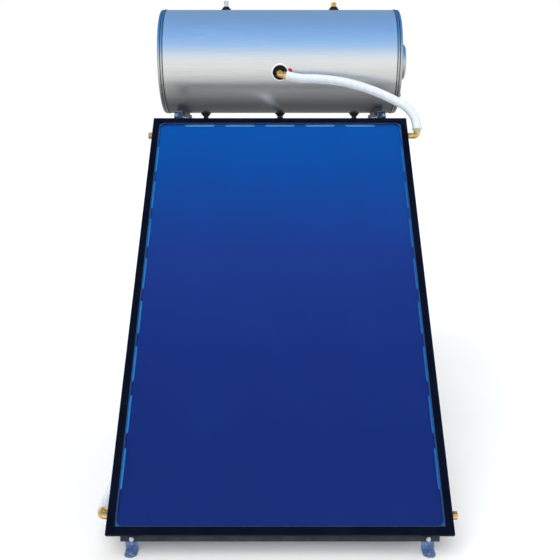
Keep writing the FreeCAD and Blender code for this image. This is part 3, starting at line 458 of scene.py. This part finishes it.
def bright_trim():
    look = Look("bright_trim", (0.94, 0.95, 0.96), 0.3)
    haze = look.noise(140, 4)
    look.feed("Base Color", look.ramp(haze, (0.3, (0.90, 0.91, 0.92)), (0.7, (0.97, 0.98, 0.98))))
    look.feed("Roughness", look.between(haze, 0.18, 0.34))
    look.bump(haze, 0.08, 0.0002)
    return look


def sealant():
    """The thin grey-blue bead between the glass and the frame's lip."""
    look = Look("sealant", (0.16, 0.26, 0.44), 0.5)
    skin = look.noise(70, 5)
    look.feed("Base Color", look.ramp(skin, (0.3, (0.02, 0.05, 0.13)), (0.7, (0.06, 0.12, 0.26))))
    look.bump(skin, 0.4, 0.0006)
    return look


def tape():
    """Soft white tape, a shade greyer than the sleeve, with wrinkles round the pipe."""
    look = Look("tape", (0.80, 0.83, 0.87), 0.38, **{"Coat Weight": 0.3})
    wrinkle = look.noise(110, 5, distortion=1.0)
    look.feed("Base Color", look.ramp(wrinkle, (0.3, (0.66, 0.72, 0.79)), (0.7, (0.86, 0.88, 0.91))))
    look.feed("Roughness", look.between(wrinkle, 0.28, 0.5))
    look.bump(wrinkle, 0.5, 0.0012)
    return look


def sealant_dark():
    look = Look("sealant_dark", (0.02, 0.023, 0.03), 0.5, 0.0, **{"Specular IOR Level": 0.3})
    skin = look.noise(90, 5)
    look.feed("Base Color", look.ramp(skin, (0.3, (0.010, 0.012, 0.018)), (0.7, (0.04, 0.045, 0.055))))
    look.bump(skin, 0.4, 0.0005)
    return look


MAKERS = (tank_skin, cap_steel, inner_steel, foam, wool, rubber, fastener, magnesium, plastic_black,
          plastic_red, brass, nickel, frame_black, tray_aluminium, absorber_blue, copper, glass,
          pipe_sleeve, galvanised, foot_zinc, bracket_steel, dark_brass, rail_charcoal, foil,
          bright_trim, sealant, sealant_dark, tape)
LOOKS = {maker.__name__: maker().material for maker in MAKERS}
OWN_LOOKS = {"tank_cradle_left": "bracket_steel", "tank_cradle_right": "bracket_steel",
             "collector_clamps": "bracket_steel", "feet": "foot_zinc", "bottom_nipples": "dark_brass",
             "return_elbow_tank": "dark_brass"}


def dress_nodes():
    """Each CAD node takes its own look, or that of its slot in the record."""
    for row in frame["record"]["subparts"]:
        node = frame["nodes"][row["node"]]
        look = OWN_LOOKS.get(row["node"], row["material_slot"])
        for holder in node.material_slots:
            holder.material = LOOKS[look]


# ---- mesh helpers -------------------------------------------------------------------------
WOBBLE_PITCH = 55                 # bumps of soft pieces, in turns of the noise for each metre


def add_piece(name, data, look):
    """Every piece made here rides on the stand."""
    piece = bpy.data.objects.new(name, data)
    bpy.context.scene.collection.objects.link(piece)
    data.materials.append(LOOKS[look])
    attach(piece, "stand")
    return piece


def add_mesh(name, mesh, look):
    """Turns a finished bmesh into a piece."""
    bmesh.ops.recalc_face_normals(mesh, faces=mesh.faces)
    data = bpy.data.meshes.new(name)
    mesh.to_mesh(data)
    mesh.free()
    return add_piece(name, data, look)


def join_rings(mesh, rings):
    """Smooth faces between cross-sections that follow one another."""
    count = len(rings[0])
    for here, there in zip(rings, rings[1:]):
        for k in range(count):
            after = (k + 1) % count
            mesh.faces.new((here[k], there[k], there[after], here[after])).smooth = True


def lathe(name, centre, axis, profile, look, slot, steps, wobble=0.0):
    """A ring turned from a closed (reach along the axis, radius) profile. Wobble is a share
    of the radius, for soft wrapped pieces."""
    turn = axis.to_track_quat("Z", "Y").to_matrix()
    mesh = bmesh.new()
    rings = []
    for k in range(steps):
        angle = 2 * math.pi * k / steps
        way = turn @ Vector((math.cos(angle), math.sin(angle), 0))
        ring = []
        for reach, radius in profile:
            spot = centre + axis * reach + way * radius
            grow = 1 + wobble * noise.noise(spot * WOBBLE_PITCH)
            ring.append(mesh.verts.new(centre + axis * reach + way * radius * grow))
        rings.append(ring)
    join_rings(mesh, rings + rings[:1])
    add_mesh(name, mesh, look)


def rounded_ring(radius_low, radius_high, reach_low, reach_high, edge):
    """A closed (reach, radius) profile with its four edges rounded in three steps each."""
    corners = ((reach_low, radius_low, 180), (reach_high, radius_low, 270),
               (reach_high, radius_high, 0), (reach_low, radius_high, 90))
    middle_reach, middle_radius = (reach_low + reach_high) / 2, (radius_low + radius_high) / 2
    points = []
    for reach, radius, first in corners:
        inner_reach = reach + math.copysign(edge, middle_reach - reach)
        inner_radius = radius + math.copysign(edge, middle_radius - radius)
        for step in range(4):
            angle = math.radians(first + 30 * step)
            points.append((inner_reach + edge * math.cos(angle), inner_radius + edge * math.sin(angle)))
    return points


# ---- trim of the collector ------------------------------------------------------------------
SLOT_INSET = 35 * MM              # from the collector's edge to the middle of the slots
FOIL_HALF_W = 8 * MM
FOIL_N = -18.9 * MM               # just under the absorber
FOIL_T = 0.25 * MM
FOIL_CRINKLE, CRINKLE_PITCH = 0.25 * MM, 60
FOIL_END = LIP + 18 * MM          # how far the strips stop from the collector's edges
FOIL_COUNT = 160
BEAD_R = 1.3 * MM
BEAD_CORNER_R = CORNER_R - 6 * MM
BEAD_INSET = LIP + 1.2 * MM
BEAD_N = -3.4 * MM


def foil_strip(name, place):
    """A crinkled strip. Place gives (x, s) from a share of its length and a step across."""
    mesh = bmesh.new()
    rows = []
    for k in range(FOIL_COUNT + 1):
        row = []
        for side in (-1, 0, 1):
            x, s = place(k / FOIL_COUNT, side * FOIL_HALF_W)
            lift = FOIL_CRINKLE * noise.noise(Vector((x * CRINKLE_PITCH, s * CRINKLE_PITCH, 0)))
            row.append(mesh.verts.new(slope(x, s, FOIL_N + lift)))
        rows.append(row)
    for low, high in zip(rows, rows[1:]):
        for k in range(2):
            mesh.faces.new((low[k], low[k + 1], high[k + 1], high[k]))
    strip = add_mesh(name, mesh, "foil")
    solid = strip.modifiers.new("thickness", "SOLIDIFY")
    solid.thickness = FOIL_T
    solid.offset = 0


def foil_strips():
    """The strips that the slots open on to: one up each side and one along the top."""
    def up_the_side(x):
        return lambda share, across: (x + across, FOIL_END + share * (LENGTH - 2 * FOIL_END))

    def along_the_top(share, across):
        return (2 * share - 1) * (HALF_W - FOIL_END), LENGTH - SLOT_INSET + across

    foil_strip("foil_left", up_the_side(-HALF_W + SLOT_INSET))
    foil_strip("foil_right", up_the_side(HALF_W - SLOT_INSET))
    foil_strip("foil_top", along_the_top)


def glass_bead():
    """The sealing bead round the glass, just inside the frame's lip."""
    curve = bpy.data.curves.new("glass_bead", "CURVE")
    curve.dimensions = "3D"
    curve.bevel_depth = BEAD_R
    curve.bevel_resolution = 3
    spots = []
    for side, end, first in ((1, 1, 0), (-1, 1, 90), (-1, -1, 180), (1, -1, 270)):
        centre_x = side * (HALF_W - BEAD_INSET - BEAD_CORNER_R)
        centre_s = LENGTH / 2 + end * (LENGTH / 2 - BEAD_INSET - BEAD_CORNER_R)
        for step in range(7):
            angle = math.radians(first + 15 * step)
            spots.append(slope(centre_x + BEAD_CORNER_R * math.cos(angle),
                               centre_s + BEAD_CORNER_R * math.sin(angle), BEAD_N))
    spline = curve.splines.new("POLY")
    spline.points.add(len(spots) - 1)
    for point, spot in zip(spline.points, spots):
        point.co = (*spot, 1)
    spline.use_cyclic_u = True
    add_piece("glass_bead", curve, "sealant")


# ---- trim of the tank -------------------------------------------------------------------------
PORT_RING_IN, PORT_RING_OUT = 36.4 * MM, 44 * MM
PORT_RING_LOW, PORT_RING_HIGH, PORT_RING_EDGE = 0.2 * MM, 5.5 * MM, 2.2 * MM
PORT_RING_STEPS = 96
SEAM_LOW, SEAM_HIGH, SEAM_EDGE = 0.1 * MM, 1.5 * MM, 0.6 * MM    # heights over the skin
SEAM_HALF_W = 2 * MM
SEAM_OFFSET = 6.2 * MM            # from the middle of the end cap's bead
SEAM_STEPS = 240


def port_ring():
    """The bright ring that trims the front port's grommet and lies on the tank's skin."""
    profile = rounded_ring(PORT_RING_IN, PORT_RING_OUT, PORT_RING_LOW, PORT_RING_HIGH, PORT_RING_EDGE)
    side = FRONT_WAY.cross(RIGHT)
    mesh = bmesh.new()
    rings = []
    for k in range(PORT_RING_STEPS):
        angle = 2 * math.pi * k / PORT_RING_STEPS
        ring = []
        for height, radius in profile:
            across = radius * math.sin(angle)
            reach = math.sqrt(TANK_R ** 2 - across ** 2) + height
            ring.append(mesh.verts.new(TANK_MIDDLE + RIGHT * radius * math.cos(angle)
                                       + side * across + FRONT_WAY * reach))
        rings.append(ring)
    join_rings(mesh, rings + rings[:1])
    add_mesh("port_ring", mesh, "bright_trim")


def cap_seams():
    """Dark sealing lines on both sides of each end cap's rolled bead."""
    profile = rounded_ring(TANK_R + SEAM_LOW, TANK_R + SEAM_HIGH, -SEAM_HALF_W, SEAM_HALF_W, SEAM_EDGE)
    for side, word in ((-1, "left"), (1, "right")):
        for offset, place in ((-SEAM_OFFSET, "inner"), (SEAM_OFFSET, "outer")):
            centre = TANK_MIDDLE + RIGHT * side * (TANK_HIGH.x + offset)
            lathe("seam_" + word + "_" + place, centre, RIGHT, profile, "sealant_dark", "rubber",
                  SEAM_STEPS)


# ---- insulated pipes ------------------------------------------------------------------------
SLEEVE_R = 22.5 * MM
HEADER_N, HEADER_LOW_S, HEADER_HIGH_S = -38 * MM, 81 * MM, 1958 * MM
FLOW_ELBOW_X, RETURN_ELBOW_X = 677 * MM, -654 * MM
FLOW_REACH, RETURN_REACH = 315 * MM, 320 * MM    # from the tank's axis to its elbows' corners
FLOW_TILT = math.radians(12)      # the pipe leaves the tank's elbow a little downwards
LEG = 30 * MM                     # from an elbow's corner to the end of its pipe arm
END_GAP = 0.3 * MM
LINE_STEP = 4 * MM

FLOW_TANK_CORNER = TANK_MIDDLE + FRONT_WAY * FLOW_REACH
FLOW_COL_CORNER = slope(FLOW_ELBOW_X, HEADER_HIGH_S, HEADER_N)
FLOW_RISE = FLOW_TANK_CORNER - FLOW_COL_CORNER
FLOW_UP = Vector((0, FLOW_RISE.y, FLOW_RISE.z)).normalized()
FLOW_WAY = RIGHT * math.cos(FLOW_TILT) - FLOW_UP * math.sin(FLOW_TILT)
RETURN_TANK_CORNER = TANK_MIDDLE - Vector((0, 0, RETURN_REACH))
RETURN_COL_CORNER = slope(RETURN_ELBOW_X, HEADER_LOW_S, HEADER_N)
RETURN_RUN = RETURN_COL_CORNER - RETURN_TANK_CORNER
RETURN_WAY = Vector((RETURN_RUN.x, RETURN_RUN.y, 0)).normalized()


def flow_point(x, drop):
    """A point of the flow pipe's plane, in millimetres from the tank elbow's corner."""
    return FLOW_TANK_CORNER + RIGHT * x * MM - FLOW_UP * drop * MM


def pipe_line(points, radii):
    """Even points along straight runs joined by tangent arcs, one radius for each inner
    point."""
    line = [points[0]]

    def run_to(target):
        gap = target - line[-1]
        count = max(1, round(gap.length / LINE_STEP))
        start = line[-1]
        line.extend(start + gap * (k / count) for k in range(1, count + 1))

    for corner, after, radius in zip(points[1:-1], points[2:], radii):
        back, ahead = (line[-1] - corner).normalized(), (after - corner).normalized()
        half_turn = (math.pi - back.angle(ahead)) / 2
        tangent = radius * math.tan(half_turn)
        middle = (back + ahead).normalized()
        centre = corner + middle * (radius / math.cos(half_turn))
        run_to(corner + back * tangent)
        spoke, axis = line[-1] - centre, back.cross(ahead).normalized()
        count = max(2, round(radius * 2 * half_turn / LINE_STEP))
        line.extend(centre + Matrix.Rotation(-2 * half_turn * k / count, 3, axis) @ spoke
                    for k in range(1, count + 1))
    run_to(points[-1])
    return line


TURN_LENGTH, TURN_RISE = 42 * MM, 0.55 * MM      # the tape's helix and its overlapping step
SWELL, SWELL_PITCH = 0.45 * MM, 14
CREASE, CREASE_PITCH = 0.22 * MM, 90
UNDER = 0.9 * MM                  # room for the tape and the swelling inside the sleeve's radius
END_ROUNDING = (1.1 * MM, 0.4 * MM)              # of the last two cross-sections at each end
SLEEVE_STEPS = 56


def wrapped_radius(spot, out, phase, seed):
    """The sleeve's radius at one place: tape step, slow swelling and fine creases."""
    soft = noise.noise((spot + out * 3 * SLEEVE_R) * SWELL_PITCH + Vector((seed, 0, 0)))
    crease = noise.noise((spot + out * SLEEVE_R) * CREASE_PITCH + Vector((0, seed, 0)))
    return SLEEVE_R - UNDER + TURN_RISE * phase + SWELL * soft + CREASE * crease


def wrapped_sleeve(name, line, replaced, seed):
    """Foam sleeve under tape wound in a long helix: each turn laps the last with a small
    step, and the surface swells and creases a little."""
    mesh = bmesh.new()
    rings = []
    travelled = 0.0
    last = len(line) - 1
    side = (line[1] - line[0]).normalized().orthogonal().normalized()
    for k, spot in enumerate(line):
        way = (line[min(k + 1, last)] - line[max(k - 1, 0)]).normalized()
        side = (side - way * side.dot(way)).normalized()
        other = way.cross(side)
        travelled += (spot - line[max(k - 1, 0)]).length
        from_end = min(k, last - k)
        rounding = END_ROUNDING[from_end] if from_end < len(END_ROUNDING) else 0
        ring = []
        for turn in range(SLEEVE_STEPS):
            angle = 2 * math.pi * turn / SLEEVE_STEPS
            phase = (travelled / TURN_LENGTH + turn / SLEEVE_STEPS) % 1
            out = side * math.cos(angle) + other * math.sin(angle)
            ring.append(mesh.verts.new(spot + out * (wrapped_radius(spot, out, phase, seed) - rounding)))
        rings.append(ring)
    join_rings(mesh, rings)
    for ring in (rings[0], rings[-1]):
        mesh.faces.new(ring)
    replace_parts(add_mesh(name, mesh, "pipe_sleeve"), replaced)


def sleeves():
    gap = LEG + END_GAP
    flow = [FLOW_TANK_CORNER + FLOW_WAY * gap, flow_point(100, 100 * math.tan(FLOW_TILT)),
            flow_point(370, 26), flow_point(677, 193), FLOW_COL_CORNER + FLOW_UP * gap]
    wrapped_sleeve("flow_wrap", pipe_line(flow, (300 * MM, 900 * MM, 145 * MM)), "flow_sleeve", 3.0)
    back = [RETURN_COL_CORNER + BACK * gap, RETURN_COL_CORNER + BACK * 150 * MM,
            RETURN_TANK_CORNER + RETURN_WAY * 150 * MM, RETURN_TANK_CORNER + RETURN_WAY * gap]
    wrapped_sleeve("return_wrap", pipe_line(back, (180 * MM, 300 * MM)), "return_sleeve", 8.0)


BAND_START, BAND_W = LEG + 2.5 * MM, 14 * MM
BAND_SUNK, BAND_PROUD, BAND_EDGE = 1.2 * MM, 0.35 * MM, 0.5 * MM
BAND_STEPS, BAND_WOBBLE = 96, 0.012


def tape_bands():
    """A band of tape that closes each end of both sleeves."""
    profile = rounded_ring(SLEEVE_R - BAND_SUNK, SLEEVE_R + BAND_PROUD, BAND_START,
                           BAND_START + BAND_W, BAND_EDGE)
    ends = [("flow_tank", FLOW_TANK_CORNER, FLOW_WAY), ("flow_collector", FLOW_COL_CORNER, FLOW_UP),
            ("return_tank", RETURN_TANK_CORNER, RETURN_WAY),
            ("return_collector", RETURN_COL_CORNER, BACK)]
    for name, corner, way in ends:
        lathe("tape_" + name, corner, way, profile, "tape", "pipe_sleeve", BAND_STEPS, BAND_WOBBLE)


# ---- studio ----------------------------------------------------------------------------------
# What shiny surfaces mirror: colours from straight down (0) to straight up (1).
MIRRORED = [(0.0, (0.16, 0.16, 0.17)), (0.1, (0.46, 0.46, 0.44)), (0.24, (0.78, 0.77, 0.72)),
            (0.38, (0.88, 0.87, 0.83)), (0.5, (0.95, 0.95, 0.93)), (0.60, (0.78, 0.86, 0.96)),
            (0.76, (0.22, 0.52, 0.96)), (0.93, (0.08, 0.36, 0.85)), (1.0, (0.05, 0.28, 0.72))]
EVEN_LIGHT = (0.60, 0.61, 0.63)
BEHIND_STRENGTH = 0.4             # of the mirrored surroundings, straight behind the object


def studio_world():
    """A white backdrop, even neutral light, and for gloss a ceiling that is blue, a pale
    horizon and a dark ground."""
    world = bpy.data.worlds.new("studio")
    world.use_nodes = True
    bpy.context.scene.world = world
    nodes, links = world.node_tree.nodes, world.node_tree.links

    split = nodes.new("ShaderNodeSeparateXYZ")
    links.new(nodes.new("ShaderNodeTexCoord").outputs["Generated"], split.inputs[0])
    height = nodes.new("ShaderNodeMapRange")
    height.inputs["From Min"].default_value = -1
    links.new(split.outputs["Z"], height.inputs["Value"])
    ramp = nodes.new("ShaderNodeValToRGB")
    set_stops(ramp, MIRRORED)
    links.new(height.outputs["Result"], ramp.inputs["Fac"])
    behind = nodes.new("ShaderNodeMapRange")
    behind.inputs["To Min"].default_value = 1.0
    behind.inputs["To Max"].default_value = BEHIND_STRENGTH
    links.new(split.outputs["Y"], behind.inputs["Value"])

    even, mirrored, backdrop = (nodes.new("ShaderNodeBackground") for _ in range(3))
    even.inputs["Color"].default_value = (*EVEN_LIGHT, 1)
    backdrop.inputs["Color"].default_value = (1, 1, 1, 1)
    links.new(ramp.outputs["Color"], mirrored.inputs["Color"])
    links.new(behind.outputs["Result"], mirrored.inputs["Strength"])

    ray = nodes.new("ShaderNodeLightPath")
    glossy, seen = nodes.new("ShaderNodeMixShader"), nodes.new("ShaderNodeMixShader")
    for mixer, share, low, high in ((glossy, "Is Glossy Ray", even, mirrored),
                                    (seen, "Is Camera Ray", glossy, backdrop)):
        links.new(ray.outputs[share], mixer.inputs[0])
        links.new(low.outputs[0], mixer.inputs[1])
        links.new(high.outputs[0], mixer.inputs[2])
    links.new(seen.outputs[0], nodes["World Output"].inputs["Surface"])


def soft_sun(name, way, strength, spread, color):
    """A wide sun that shines along a way. Spread is in degrees."""
    data = bpy.data.lights.new(name, "SUN")
    data.energy = strength
    data.angle = math.radians(spread)
    data.color = color
    lamp = bpy.data.objects.new(name, data)
    bpy.context.scene.collection.objects.link(lamp)
    lamp.rotation_euler = Vector(way).to_track_quat("-Z", "Y").to_euler()
    lamp.visible_glossy = False


FLOOR_REACH = 40.0


def floor():
    data = bpy.data.meshes.new("floor")
    corners = [(x * FLOOR_REACH, y * FLOOR_REACH, 0) for x, y in ((-1, -1), (1, -1), (1, 1), (-1, 1))]
    data.from_pydata(corners, [], [(0, 1, 2, 3)])
    ground = bpy.data.objects.new("floor", data)
    bpy.context.scene.collection.objects.link(ground)
    look = Look("floor", (0.93, 0.93, 0.93), 0.9, 0.0, **{"Specular IOR Level": 0.1})
    tone = look.ramp(look.noise(2, 3), (0.3, (0.92, 0.92, 0.92)), (0.7, (0.94, 0.94, 0.94)))
    look.feed("Base Color", tone)
    data.materials.append(look.material)
    ground.visible_glossy = False


CAMERA_PLACE = (0, -3.650, 1.583)
CAMERA_TILT = math.radians(78)    # 12 degrees below the horizon
LENS_MM, SENSOR_MM = 51.43, 36
CLIP_END = 100                    # past the floor's far corners


def camera():
    data = bpy.data.cameras.new("camera")
    data.lens = LENS_MM
    data.sensor_width = SENSOR_MM
    data.clip_end = CLIP_END
    eye = bpy.data.objects.new("camera", data)
    bpy.context.scene.collection.objects.link(eye)
    eye.location = CAMERA_PLACE
    eye.rotation_euler = (CAMERA_TILT, 0, 0)
    bpy.context.scene.camera = eye


dress_nodes()
foil_strips()
glass_bead()
port_ring()
cap_seams()
sleeves()
tape_bands()
studio_world()
soft_sun("key", (0.25, 0.75, -1.1), 1.9, 50, (1.0, 0.985, 0.96))
soft_sun("fill", (-0.4, -0.8, -0.9), 0.5, 60, (0.94, 0.97, 1.0))
floor()
camera()
bpy.context.scene.view_settings.view_transform = "Standard"
